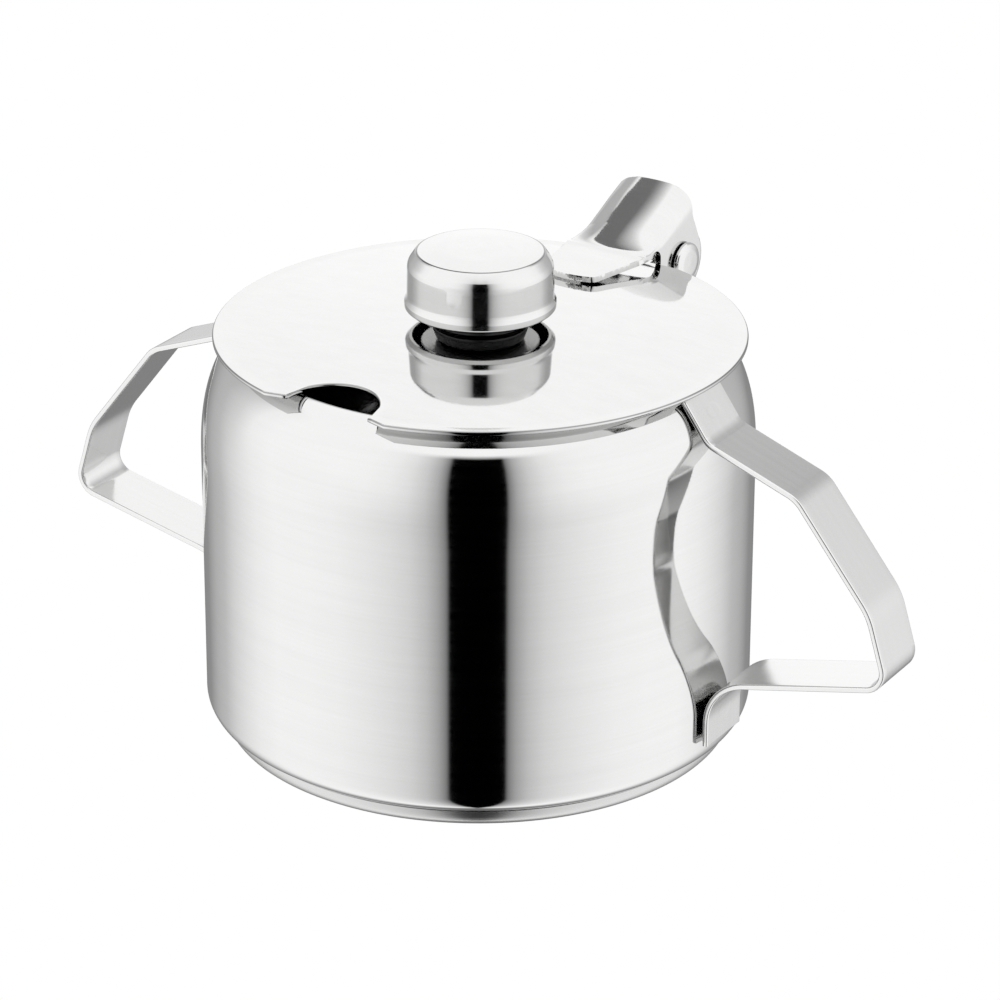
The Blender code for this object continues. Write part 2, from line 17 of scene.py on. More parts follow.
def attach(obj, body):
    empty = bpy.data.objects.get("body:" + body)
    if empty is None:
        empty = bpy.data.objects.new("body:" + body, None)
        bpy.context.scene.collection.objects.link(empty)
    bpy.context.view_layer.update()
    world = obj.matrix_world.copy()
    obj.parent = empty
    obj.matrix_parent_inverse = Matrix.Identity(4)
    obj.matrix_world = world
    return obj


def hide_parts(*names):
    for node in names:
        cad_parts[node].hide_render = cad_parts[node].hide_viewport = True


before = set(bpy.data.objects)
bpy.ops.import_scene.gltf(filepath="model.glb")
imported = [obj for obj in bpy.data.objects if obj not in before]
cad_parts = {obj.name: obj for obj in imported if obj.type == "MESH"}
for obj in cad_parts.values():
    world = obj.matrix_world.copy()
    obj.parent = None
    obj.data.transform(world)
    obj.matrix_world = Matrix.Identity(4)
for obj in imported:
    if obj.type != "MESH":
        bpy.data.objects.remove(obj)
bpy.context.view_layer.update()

MM = 0.001

# ---- sizes shared with the CAD ------------------------------------------------
WALL_R, SHEET, MOUTH_R = 47.0, 0.8, 38.7
SHOULDER_Z, SHOULDER_TOP, SHOULDER_CR, SHOULDER_N = 50.0, 70.7, 35.2, 2.4
FOOT_Z, FOOT_FILLET, FOOT_R = 3.5, 3.4, 43.6
BASE_R, BASE_FILLET, BASE_RIM_TOP, FLANGE_R, FLANGE_TOP = 44.2, 2.7, 3.2, 43.3, 6.0
LID_R, LID_Z, LID_SHIFT, DOME_RISE, DOME_R = 45.0, 71.2, 0.5, 1.5, 42.6
NOTCH_Y, NOTCH_TIP, NOTCH_TIP_R, NOTCH_MOUTH, NOTCH_YAW = 41.9, 10.9, 43.2, 15.5, -0.9
REAR_FLAT_Y, REAR_TAB_W = 44.0, 6.3
KNOB_LIP_R, KNOB_WALL_R, KNOB_TOP_R, KNOB_LIP_Z, KNOB_TOP_Z, PLATE_IN, PLATE_R = 12.8, 12.4, 10.9, 3.8, 14.5, 0.9, 10.2
SPACER_R, SCREW_R, SCREW_HOLE_R = 8.1, 2.0, 2.3
STRAP_W, STRAP_T, HANDLE_YAW = 11.8, 1.0, 3.6
PIN_Y, PIN_DZ, PIN_R, PIN_HEAD_R = 51.7, -1.9, 1.5, 3.6
HOOD_W, HOOD_FRONT_W, HOOD_T, HOOD_FRONT_Y, HOOD_FRONT_ARC = 7.9, 5.6, 1.0, 25.8, 15.0
HOOD_FOLD_Y, HOOD_REAR_Y, HOOD_REAR_DZ, HOOD_ARCH = 38.8, 54.5, 11.05, 4.8
CHEEK_FRONT_Y, LOBE_R = 44.35, 6.0
BRACKET_W, BRACKET_T, BOSS_R, STOP_BACK, STOP_UP = 6.3, 1.2, 4.2, 3.0, 5.9
GAP = 0.3
PIN_Z = LID_Z + PIN_DZ


# ---- outlines -------------------------------------------------------------------
def filleted(corners, step=7.0):
    """A path through (a, b, radius) corners, each rounded in steps of a few degrees."""
    out = []
    last = len(corners) - 1
    for i, (a, b, rad) in enumerate(corners):
        here = Vector((a, b))
        if rad <= 0 or i in (0, last):
            out.append(here)
            continue
        before = (Vector(corners[i - 1][:2]) - here).normalized()
        after = (Vector(corners[i + 1][:2]) - here).normalized()
        half = before.angle(after) / 2
        reach = rad / math.tan(half)
        centre = here + (before + after).normalized() * (rad / math.sin(half))
        start = here + before * reach - centre
        end = here + after * reach - centre
        a0 = math.atan2(start.y, start.x)
        turn = math.atan2(end.y, end.x) - a0
        turn = (turn + math.pi) % (2 * math.pi) - math.pi
        steps = max(3, int(abs(math.degrees(turn)) / step) + 1)
        for k in range(steps + 1):
            t = a0 + turn * k / steps
            out.append(centre + Vector((math.cos(t), math.sin(t))) * rad)
    return out


def beside(path, distance):
    out = []
    for i, p in enumerate(path):
        dirs = []
        if i > 0:
            dirs.append((p - path[i - 1]).normalized())
        if i < len(path) - 1:
            dirs.append((path[i + 1] - p).normalized())
        normals = [Vector((-d.y, d.x)) for d in dirs]
        n = sum(normals, Vector((0, 0))).normalized()
        out.append(p + n * (distance / n.dot(normals[0])))
    return out


def arc(cx, cy, rad, start, end, steps):
    return [Vector((cx + rad * math.cos(math.radians(start + (end - start) * k / steps)),
                    cy + rad * math.sin(math.radians(start + (end - start) * k / steps))))
            for k in range(steps + 1)]


def dense(path, most):
    """The path with its long segments split, so that smooth shading stays true."""
    out = [path[0]]
    for p, q in zip(path, path[1:]):
        n = max(1, math.ceil((q - p).length / most))
        out += [p.lerp(q, k / n) for k in range(1, n + 1)]
    return out


def half_round(p, q, away):
    """Points of the half circle from p to q that bulges towards away."""
    centre = (p + q) / 2
    arm = p - centre
    side = Vector((-arm.y, arm.x))
    if side.dot(away) < 0:
        side = -side
    return [centre + arm * math.cos(t) + side * math.sin(t) for t in (math.pi * k / 8 for k in range(1, 8))]


# ---- meshes -------------------------------------------------------------------------
def made(name, bm, mat, body, *nodes, sharp=40.0, bevel=0.0, weighted=True):
    """Makes the object from bm, which is in millimetres in the row frame."""
    bmesh.ops.remove_doubles(bm, verts=bm.verts, dist=2e-4)
    bmesh.ops.recalc_face_normals(bm, faces=bm.faces)
    for v in bm.verts:
        v.co = v.co * MM
    mesh = bpy.data.meshes.new(name)
    bm.to_mesh(mesh)
    bm.free()
    return placed(name, mesh, mat, body, *nodes, sharp=sharp, bevel=bevel, weighted=weighted)


def placed(name, mesh, mat, body, *nodes, sharp=40.0, bevel=0.0, weighted=True):
    mesh.shade_smooth()
    mesh.set_sharp_from_angle(angle=math.radians(sharp))
    mesh.materials.append(mat)
    obj = bpy.data.objects.new(name, mesh)
    bpy.context.scene.collection.objects.link(obj)
    if bevel:
        mod = obj.modifiers.new("edges", "BEVEL")
        mod.width = bevel * MM
        mod.segments = 3
        mod.limit_method = "ANGLE"
        mod.angle_limit = math.radians(35)
        mod.use_clamp_overlap = True
    if weighted:
        mod = obj.modifiers.new("normals", "WEIGHTED_NORMAL")
        mod.keep_sharp = not bevel
        mod.weight = 50
    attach(obj, body)
    if nodes:
        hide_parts(*nodes)
    return obj


def turned(profile, segments=192, closed=True, centre=(0.0, 0.0)):
    bm = bmesh.new()
    rings = []
    for p in profile:
        if p.x < 1e-6:
            rings.append([bm.verts.new((centre[0], centre[1], p.y))])
        else:
            rings.append([bm.verts.new((centre[0] + p.x * math.cos(2 * math.pi * k / segments),
                                        centre[1] + p.x * math.sin(2 * math.pi * k / segments), p.y))
                          for k in range(segments)])
    pairs = list(zip(rings, rings[1:]))
    if closed:
        pairs.append((rings[-1], rings[0]))
    for one, two in pairs:
        for k in range(segments):
            m = (k + 1) % segments
            if len(one) == 1 and len(two) == 1:
                break
            if len(one) == 1:
                bm.faces.new((one[0], two[m], two[k]))
            elif len(two) == 1:
                bm.faces.new((one[k], one[m], two[0]))
            else:
                bm.faces.new((one[k], one[m], two[m], two[k]))
    return bm


def prism(outline, low, high, axis="Z"):
    place = {"Z": lambda p, h: (p[0], p[1], h), "X": lambda p, h: (h, p[0], p[1])}[axis]
    bm = bmesh.new()
    face = bm.faces.new([bm.verts.new(place(p, low)) for p in outline])
    grown = bmesh.ops.extrude_face_region(bm, geom=[face])
    move = Vector(place((0.0, 0.0), high - low))
    bmesh.ops.translate(bm, vec=move, verts=[g for g in grown["geom"] if isinstance(g, bmesh.types.BMVert)])
    bmesh.ops.recalc_face_normals(bm, faces=bm.faces)
    return bm


def tool(bm):
    """A hidden Boolean tool, in metres."""
    bmesh.ops.recalc_face_normals(bm, faces=bm.faces)
    for v in bm.verts:
        v.co = v.co * MM
    mesh = bpy.data.meshes.new("tool")
    bm.to_mesh(mesh)
    bm.free()
    obj = bpy.data.objects.new("tool", mesh)
    bpy.context.scene.collection.objects.link(obj)
    return obj


def joined(bm, steps):
    """The mesh of bm after the (operation, bmesh) steps, with every Boolean applied."""
    base = tool(bm)
    extra = []
    for operation, other in steps:
        mod = base.modifiers.new("b", "BOOLEAN")
        mod.operation, mod.solver = operation, "EXACT"
        mod.object = tool(other)
        extra.append(mod.object)
    bpy.context.view_layer.update()
    graph = bpy.context.evaluated_depsgraph_get()
    mesh = bpy.data.meshes.new_from_object(base.evaluated_get(graph))
    for obj in [base] + extra:
        bpy.data.objects.remove(obj, do_unlink=True)
    return mesh


# ---- materials ------------------------------------------------------------------------
class Tree:
    """Short hand for building a node tree."""

    def __init__(self, tree):
        self.tree = tree

    def node(self, kind, **settings):
        n = self.tree.nodes.new(kind)
        for key, value in settings.items():
            setattr(n, key, value)
        return n

    def link(self, a, b):
        self.tree.links.new(a, b)

    def put(self, socket, value):
        if isinstance(value, bpy.types.NodeSocket):
            self.link(value, socket)
        else:
            socket.default_value = value

    def math(self, operation, a, b=0.0, c=0.0, clamp=False):
        n = self.node("ShaderNodeMath", operation=operation, use_clamp=clamp)
        for socket, value in zip(n.inputs, (a, b, c)):
            self.put(socket, value)
        return n.outputs[0]

    def combine(self, x, y, z):
        n = self.node("ShaderNodeCombineXYZ")
        for socket, value in zip(n.inputs, (x, y, z)):
            self.put(socket, value)
        return n.outputs[0]

    def noise(self, vector, scale, detail=4.0, rough=0.55, distort=0.0):
        n = self.node("ShaderNodeTexNoise")
        self.put(n.inputs["Vector"], vector)
        n.inputs["Scale"].default_value = scale
        n.inputs["Detail"].default_value = detail
        n.inputs["Roughness"].default_value = rough
        n.inputs["Distortion"].default_value = distort
        return n.outputs["Fac"]

    def spread(self, value, a, b, c, d):
        n = self.node("ShaderNodeMapRange", clamp=True)
        self.put(n.inputs[0], value)
        for k, x in enumerate((a, b, c, d)):
            n.inputs[k + 1].default_value = x
        return n.outputs[0]

    def mix(self, fac, a, b):
        n = self.node("ShaderNodeMix", data_type="RGBA")
        self.put(n.inputs[0], fac)
        self.put(n.inputs[6], a)
        self.put(n.inputs[7], b)
        return n.outputs[2]


def blank(name):
    mat = bpy.data.materials.new(name)
    mat.use_nodes = True
    t = Tree(mat.node_tree)
    bsdf = mat.node_tree.nodes["Principled BSDF"]
    return mat, t, bsdf


def steel(name, tint=0.66, rough=0.07, marks="turned", depth=1.0, spread=0.03, centre_y=0.0, weld=(), painted_ring_r=None, edges=False):
    """Stainless steel.  marks is the way the surface was worked: turned about
    the vertical axis, lengthwise along the UV map's first axis, or plain."""
    mat, t, bsdf = blank(name)
    at = t.node("ShaderNodeTexCoord")
    split = t.node("ShaderNodeSeparateXYZ")
    t.link(at.outputs["Object"], split.inputs[0])
    x, y, z = split.outputs
    if marks == "turned":
        yy = t.math("SUBTRACT", y, centre_y * MM)
        angle = t.math("ARCTAN2", yy, x)
        radius = t.math("SQRT", t.math("ADD", t.math("MULTIPLY", x, x), t.math("MULTIPLY", yy, yy)))
        along = t.math("ADD", t.math("MULTIPLY", z, 2600.0), t.math("MULTIPLY", radius, 2600.0))
        lines = t.combine(t.math("MULTIPLY", angle, 2.2), along, t.math("MULTIPLY", radius, 300.0))
        coarse = t.combine(t.math("MULTIPLY", angle, 0.9), t.math("MULTIPLY", along, 0.16), 0.0)
    elif marks == "lengthwise":
        uv = t.node("ShaderNodeSeparateXYZ")
        t.link(at.outputs["UV"], uv.inputs[0])
        lines = t.combine(t.math("MULTIPLY", uv.outputs[0], 35.0), t.math("MULTIPLY", uv.outputs[1], 4200.0), 0.0)
        coarse = t.combine(t.math("MULTIPLY", uv.outputs[0], 12.0), t.math("MULTIPLY", uv.outputs[1], 700.0), 0.0)
    else:
        lines = t.combine(t.math("MULTIPLY", x, 350.0), t.math("MULTIPLY", y, 2600.0), t.math("MULTIPLY", z, 900.0))
        coarse = t.combine(t.math("MULTIPLY", x, 160.0), t.math("MULTIPLY", y, 330.0), t.math("MULTIPLY", z, 240.0))
    fine = t.noise(lines, 1.0, 5.0, 0.6)
    broad = t.noise(coarse, 1.0, 3.0, 0.5)
    specks = t.noise(at.outputs["Object"], 5200.0, 1.0, 0.5)
    speck = t.spread(specks, 0.72, 0.80, 0.0, 1.0)
    # roughness varies with the marks, and rare specks are rougher
    value = t.math("ADD", t.spread(fine, 0.25, 0.75, rough - spread, rough + spread), t.math("MULTIPLY", speck, 0.10))
    value = t.math("ADD", value, t.spread(broad, 0.3, 0.7, -0.35 * spread, 0.35 * spread), clamp=True)
    t.link(value, bsdf.inputs["Roughness"])
    shade = t.spread(t.math("ADD", fine, broad), 0.6, 1.4, tint * 0.975, tint * 1.025)
    if painted_ring_r:
        # painted dark reflection: the colour is darkened in a thin ring at the given radius, along the corner of a
        # turned top
        off = t.math("ABSOLUTE", t.math("SUBTRACT", radius, painted_ring_r * MM))
        shade = t.math("MULTIPLY", shade, t.spread(off, 0.08 * MM, 0.19 * MM, 0.38, 1.0))
    if edges:
        # painted shade: faces whose normals lean part way, the rounded corners of the sheared edge, are darkened by up
        # to 55% against the faces beside them
        tilt = t.node("ShaderNodeSeparateXYZ")
        t.link(at.outputs["Normal"], tilt.inputs[0])
        lean = t.math("ABSOLUTE", tilt.outputs[2])
        corner = t.math("MULTIPLY", t.spread(lean, 0.15, 0.35, 0.0, 1.0), t.spread(lean, 0.85, 0.94, 1.0, 0.0))
        shade = t.math("MULTIPLY", shade, t.math("SUBTRACT", 1.0, t.math("MULTIPLY", corner, 0.55)))
    colour = t.combine(shade, shade, t.math("MULTIPLY", shade, 0.995))
    height = t.math("ADD", t.math("MULTIPLY", fine, 0.6), t.math("MULTIPLY", broad, 0.5))
    for (u, v, ru, rv) in weld:
        uv = t.node("ShaderNodeSeparateXYZ")
        t.link(at.outputs["UV"], uv.inputs[0])
        du = t.math("DIVIDE", t.math("SUBTRACT", uv.outputs[0], u * MM), ru * MM)
        dv = t.math("DIVIDE", t.math("SUBTRACT", uv.outputs[1], v * MM), rv * MM)
        far = t.math("SQRT", t.math("ADD", t.math("MULTIPLY", du, du), t.math("MULTIPLY", dv, dv)))
        dent = t.spread(far, 0.75, 1.0, -2.4, 0.0)
        height = t.math("ADD", height, dent)
    t.link(colour, bsdf.inputs["Base Color"])
    bsdf.inputs["Metallic"].default_value = 1.0
    bump = t.node("ShaderNodeBump")
    bump.inputs["Strength"].default_value = 1.0
    bump.inputs["Distance"].default_value = 0.0000022 * depth
    t.link(height, bump.inputs["Height"])
    t.link(bump.outputs[0], bsdf.inputs["Normal"])
    return mat


def plastic(name):
    mat, t, bsdf = blank(name)
    at = t.node("ShaderNodeTexCoord")
    grain = t.noise(at.outputs["Object"], 2600.0, 5.0, 0.6)
    blotch = t.noise(at.outputs["Object"], 260.0, 3.0, 0.5)
    shade = t.spread(t.math("ADD", grain, blotch), 0.7, 1.3, 0.006, 0.016)
    t.link(t.combine(shade, shade, t.math("MULTIPLY", shade, 1.06)), bsdf.inputs["Base Color"])
    t.link(t.spread(grain, 0.3, 0.7, 0.24, 0.42), bsdf.inputs["Roughness"])
    bump = t.node("ShaderNodeBump")
    bump.inputs["Strength"].default_value = 0.6
    bump.inputs["Distance"].default_value = 0.00002
    t.link(grain, bump.inputs["Height"])
    t.link(bump.outputs[0], bsdf.inputs["Normal"])
    return mat


# ---- bowl body --------------------------------------------------------------------------
def body_profile():
    mouth = MOUTH_R + SHEET / 2
    mouth_angle = math.acos(((mouth - SHOULDER_CR) / (WALL_R - SHOULDER_CR)) ** (SHOULDER_N / 2))
    path = []
    for k in range(57):
        t = mouth_angle * (1 - k / 56)
        path.append(Vector((SHOULDER_CR + (WALL_R - SHOULDER_CR) * math.cos(t) ** (2 / SHOULDER_N),
                            SHOULDER_Z + (SHOULDER_TOP - SHOULDER_Z) * math.sin(t) ** (2 / SHOULDER_N))))
    foot = filleted([(WALL_R, SHOULDER_Z, 0), (WALL_R, FOOT_Z, FOOT_FILLET), (FOOT_R, FOOT_Z, 0)], 6)
    foot[-1] = Vector((FOOT_R - 0.05, FOOT_Z))
    outer = dense(path + foot[1:], 1.5)
    inner = beside(outer, -SHEET)
    mouth_end = half_round(inner[0], outer[0], Vector((-1, 0.3)))
    return outer + inner[::-1] + mouth_end


steel_body = steel("steel_body", tint=0.66, rough=0.055, marks="turned", depth=1.0, spread=0.02)
bowl_body = made("bowl_body_fine", turned(body_profile(), 256), steel_body, "bowl", "bowl_body", sharp=50)

# ---- bowl base -----------------------------------------------------------------------------
base_path = (
    [Vector((0, 0))]
    + filleted([(0, 0, 0), (BASE_R, 0, BASE_FILLET), (BASE_R, BASE_RIM_TOP, 0.25), (FLANGE_R, BASE_RIM_TOP, 0.15),
                (FLANGE_R, FLANGE_TOP, 0.3), (FLANGE_R - SHEET, FLANGE_TOP, 0.3), (FLANGE_R - SHEET, SHEET, 1.8),
                (0, SHEET, 0)], 8)[1:]
)
steel_base = steel("steel_base", tint=0.56, rough=0.24, marks="turned", depth=2.0, spread=0.05)
bowl_base = made("bowl_base_fine", turned(dense(base_path, 2.0), 192, closed=False), steel_base, "bowl", "bowl_base")


# ---- lid ------------------------------------------------------------------------------------
def dome(r):
    return DOME_RISE * (1 - (min(r, DOME_R) / DOME_R) ** 2)


def lid_height(x, y):
    """Top side of the lid above its rim, its dome running softly into the flat rim."""
    r = math.hypot(x, y - LID_SHIFT)
    return dome(r)


def polar(r, deg):
    a = math.radians(-90 + deg)
    return Vector((r * math.cos(a), r * math.sin(a)))


def lid_outline():
    """The lid's plan, anticlockwise, starting at the notch's right rim corner."""
    turn = Matrix.Rotation(math.radians(NOTCH_YAW), 2)
    right, left = polar(NOTCH_TIP_R, NOTCH_TIP), polar(NOTCH_TIP_R, -NOTCH_TIP)
    centre = Vector((0, -NOTCH_Y))
    rad = (right - centre).length
    a0 = math.degrees(math.atan2(right.y - centre.y, right.x - centre.x))
    a1 = math.degrees(math.atan2(left.y - centre.y, left.x - centre.x)) % 360
    notch = [turn @ p for p in arc(0, -NOTCH_Y, rad, a0, a1, 72)]
    start = -90 + NOTCH_MOUTH + NOTCH_YAW
    stop = 270 - NOTCH_MOUTH + NOTCH_YAW
    flat = REAR_FLAT_Y - LID_SHIFT
    b0 = math.degrees(math.asin(flat / LID_R))          # where the straight trims begin
    b1 = math.degrees(math.acos(REAR_TAB_W / LID_R))    # where the tab's arc begins
    rim = arc(0, 0, LID_R, start, b0, 110)
    rim += [Vector((REAR_TAB_W + 0.01, flat))]
    rim += arc(0, 0, LID_R, b1, 180 - b1, 16)
    rim += [Vector((-REAR_TAB_W - 0.01, flat))]
    rim += arc(0, 0, LID_R, 180 - b0, stop, 110)
    path = rim + notch[::-1]
    out = []
    for p in path:
        p = p + Vector((0, LID_SHIFT))
        if not out or (p - out[-1]).length > 0.02:
            out.append(p)
    return out


def inset(outline, distance):
    out = []
    n = len(outline)
    for i, p in enumerate(outline):
        a = (p - outline[i - 1]).normalized()
        b = (outline[(i + 1) % n] - p).normalized()
        na, nb = Vector((-a.y, a.x)), Vector((-b.y, b.x))
        m = na + nb
        m = m.normalized() if m.length > 1e-6 else na
        out.append(p + m * (distance / max(m.dot(na), 0.5)))
    return out


def split_long(outline, most):
    out = []
    n = len(outline)
    for i, p in enumerate(outline):
        q = outline[(i + 1) % n]
        k = max(1, math.ceil((q - p).length / most))
        out += [p.lerp(q, j / k) for j in range(k)]
    return out


def lid_mesh():
    edge = 0.3
    outline = split_long(lid_outline(), 1.3)
    n = len(outline)
    verts, faces, normals = [], [], []
    rows = []
    away = [(p - q).normalized() for p, q in zip(outline, inset(outline, 0.05))]
    for k in range(11):
        # from the top's edge, over the rim, to the underside's edge
        if k <= 5:
            t = math.pi / 2 * k / 5
            d, z, across, rise_ = edge * (1 - math.sin(t)), -edge * (1 - math.cos(t)), math.sin(t), math.cos(t)
        else:
            t = math.pi / 2 * (k - 5) / 5
            d, z, across, rise_ = edge * (1 - math.cos(t)), -(SHEET - edge) - edge * math.sin(t), math.cos(t), -math.sin(t)
        ring = inset(outline, d)
        rows.append(list(range(len(verts), len(verts) + n)))
        verts += [(p.x, p.y, LID_Z + lid_height(p.x, p.y) + z) for p in ring]
        normals += [(v.x * across, v.y * across, rise_) for v in away]
    for one, two in zip(rows, rows[1:]):
        for i in range(n):
            j = (i + 1) % n
            faces.append((one[i], two[i], two[j], one[j]))
    ring = inset(outline, edge)
    hole = [Vector((SCREW_HOLE_R * math.cos(2 * math.pi * k / 32), SCREW_HOLE_R * math.sin(2 * math.pi * k / 32) + LID_SHIFT))
            for k in range(32)]
    inner = []
    for ring_no in range(1, 36):
        r = 2.3 + 1.21 * ring_no
        count = max(32, int(2 * math.pi * r / 1.9))
        for k in range(count):
            a = 2 * math.pi * (k + 0.5 * (ring_no % 2)) / count
            inner.append(Vector((r * math.cos(a), r * math.sin(a) + LID_SHIFT)))
    ring_np = np.array([(p.x, p.y) for p in outline])

    def inside(p):
        x0, y0 = ring_np[:, 0], ring_np[:, 1]
        x1, y1 = np.roll(x0, -1), np.roll(y0, -1)
        cross = (y0 > p.y) != (y1 > p.y)
        xs = x0 + (p.y - y0) * (x1 - x0) / np.where(y1 == y0, 1e-9, y1 - y0)
        near = np.min(np.hypot(x0 - p.x, y0 - p.y))
        return bool(np.sum(cross & (p.x < xs)) % 2) and near > 0.9

    inner = [p for p in inner if inside(p)]
    points = ring + hole + inner
    edges = [(i, (i + 1) % n) for i in range(n)] + [(n + i, n + (i + 1) % 32) for i in range(32)]
    co, _, tris, original, _, _ = delaunay_2d_cdt(points, edges, [], 0, 1e-4)
    for level, offset, row in (("top", 0.0, rows[0]), ("under", -SHEET, rows[-1])):
        place = {}
        for i, p in enumerate(co):
            source = [o for o in original[i] if o < n]
            if source:
                place[i] = row[source[0]]
            else:
                place[i] = len(verts)
                verts.append((p.x, p.y, LID_Z + lid_height(p.x, p.y) + offset))
                r = math.hypot(p.x, p.y - LID_SHIFT)
                lean = 2 * DOME_RISE / DOME_R ** 2 if r < DOME_R else 0.0
                face = Vector((p.x * lean, (p.y - LID_SHIFT) * lean, 1.0)).normalized()
                normals.append(tuple(face if level == "top" else -face))
        for tri in tris:
            c = sum((Vector(co[i]) for i in tri), Vector((0, 0))) / 3
            if math.hypot(c.x, c.y - LID_SHIFT) < SCREW_HOLE_R - 0.02:
                continue
            q = [place[i] for i in tri]
            if not inside_fast(c, ring_np):
                continue
            faces.append(tuple(q if level == "top" else q[::-1]))
        if level == "top":
            top_hole = {k: place[i] for i in range(len(co)) for k in [o - n for o in original[i] if n <= o < n + 32]}
        else:
            low_hole = {k: place[i] for i in range(len(co)) for k in [o - n for o in original[i] if n <= o < n + 32]}
    for k in range(32):
        m = (k + 1) % 32
        faces.append((top_hole[k], low_hole[k], low_hole[m], top_hole[m]))
    mesh = bpy.data.meshes.new("lid_fine")
    mesh.from_pydata([(x * MM, y * MM, z * MM) for x, y, z in verts], [], faces)
    mesh.update()
    bm = bmesh.new()
    bm.from_mesh(mesh)
    bmesh.ops.recalc_face_normals(bm, faces=bm.faces)
    bm.to_mesh(mesh)
    bm.free()
    return mesh, normals


def inside_fast(p, ring_np):
    x0, y0 = ring_np[:, 0], ring_np[:, 1]
    x1, y1 = np.roll(x0, -1), np.roll(y0, -1)
    cross = (y0 > p.y) != (y1 > p.y)
    xs = x0 + (p.y - y0) * (x1 - x0) / np.where(y1 == y0, 1e-9, y1 - y0)
    return bool(np.sum(cross & (p.x < xs)) % 2)


# the lid's rim corners carry painted shade (edges=True), standing in for the dark reflection along the edge
steel_lid = steel("steel_lid", tint=0.66, rough=0.05, marks="plain", depth=0.5, spread=0.015, centre_y=LID_SHIFT, edges=True)
lid_face, lid_normals = lid_mesh()
lid = placed("lid_fine", lid_face, steel_lid, "lid", "lid", sharp=50, weighted=False)
lid_face.normals_split_custom_set_from_vertices(lid_normals)

# ---- knob -------------------------------------------------------------------------------------
lip_z, top_z = LID_Z + KNOB_LIP_Z, LID_Z + KNOB_TOP_Z
knob_at = (0.0, LID_SHIFT)
cap_wall = filleted([(0, top_z, 0), (KNOB_TOP_R * 0.6, top_z - 0.13, 40.0), (KNOB_TOP_R, top_z - 0.5, 0.7),
                     (KNOB_WALL_R - 0.1, top_z - 2.6, 2.6), (KNOB_WALL_R, lip_z + 2.3, 0)], 3)
cap_bead = filleted([(KNOB_WALL_R, lip_z + 2.3, 0), (KNOB_LIP_R, lip_z + 1.6, 0.5), (KNOB_LIP_R, lip_z + 0.6, 0.55),
                     (KNOB_LIP_R - 0.75, lip_z, 0.2), (KNOB_WALL_R - SHEET, lip_z, 0)], 9)[1:-1]
cap_wall = dense(cap_wall, 0.8)
cap_inner = beside(cap_wall[1:], -SHEET)[:-1] + [Vector((KNOB_WALL_R - SHEET, lip_z))]
cap_profile = cap_wall + cap_bead + cap_inner[::-1] + [Vector((0, top_z - SHEET))]
# the knob's top corner carries a painted dark reflection ring near KNOB_TOP_R
steel_knob = steel("steel_knob", tint=0.66, rough=0.10, marks="turned", depth=1.2, spread=0.03, centre_y=LID_SHIFT,
                   painted_ring_r=KNOB_TOP_R - 0.2)
knob_cap = made("knob_cap_fine", turned(cap_profile, 192, closed=False, centre=knob_at), steel_knob, "lid", "knob_cap", sharp=50)

plate_low = lip_z + PLATE_IN
plate_high = top_z - 2.0
satin = steel("steel_satin", tint=0.56, rough=0.22, marks="turned", depth=2.0, spread=0.05, centre_y=LID_SHIFT)
plate = filleted([(SCREW_HOLE_R, plate_low + 0.4, 0), (SCREW_HOLE_R, plate_low, 0.1), (PLATE_R, plate_low, 0.35),
                  (PLATE_R, plate_high, 0.15), (PLATE_R - SHEET, plate_high, 0.15), (PLATE_R - SHEET, plate_low + SHEET, 0.3),
                  (SCREW_HOLE_R, plate_low + SHEET, 0.1), (SCREW_HOLE_R, plate_low + 0.41, 0)], 15)
knob_plate = made("knob_plate_fine", turned(dense(plate, 1.5), 128, centre=knob_at), satin, "lid", "knob_plate")

nut_low = plate_low + SHEET + GAP
nut_r = 7.0 / 2 / math.cos(math.pi / 6)
nut_outline = [(nut_r * math.cos(math.pi / 3 * k), nut_r * math.sin(math.pi / 3 * k) + LID_SHIFT) for k in range(6)]
nut_bore = [(SCREW_HOLE_R * math.cos(2 * math.pi * k / 48), SCREW_HOLE_R * math.sin(2 * math.pi * k / 48) + LID_SHIFT) for k in range(48)]
knob_nut = placed("knob_weld_nut_fine",
                  joined(prism(nut_outline, nut_low, nut_low + 3.2), [("DIFFERENCE", prism(nut_bore, nut_low - 1, nut_low + 5))]),
                  satin, "lid", "knob_weld_nut", bevel=0.15, sharp=30)

spacer_low, spacer_high = LID_Z + DOME_RISE + GAP, plate_low - GAP
spacer = filleted([(SCREW_HOLE_R, spacer_low + 0.5, 0), (SCREW_HOLE_R, spacer_low, 0.1), (SPACER_R, spacer_low, 0.12),
                   (SPACER_R, spacer_low + 0.5, 0.5), (SPACER_R - 0.5, spacer_high - 0.45, 0.4), (SPACER_R - 1.1, spacer_high, 0.3),
                   (SCREW_HOLE_R, spacer_high, 0.1), (SCREW_HOLE_R, spacer_low + 0.51, 0)], 10)
knob_spacer = made("knob_spacer_fine", turned(dense(spacer, 1.0), 128, centre=knob_at), plastic("black_plastic"), "lid", "knob_spacer")

washer_high = LID_Z + DOME_RISE - SHEET - GAP
washer = filleted([(SCREW_HOLE_R, washer_high - 0.4, 0), (SCREW_HOLE_R, washer_high - 0.8, 0.08), (4.5, washer_high - 0.8, 0.15),
                   (4.5, washer_high, 0.15), (SCREW_HOLE_R, washer_high, 0.08), (SCREW_HOLE_R, washer_high - 0.39, 0)], 15)
knob_washer = made("knob_washer_fine", turned(dense(washer, 1.0), 96, centre=knob_at), satin, "lid", "knob_washer")

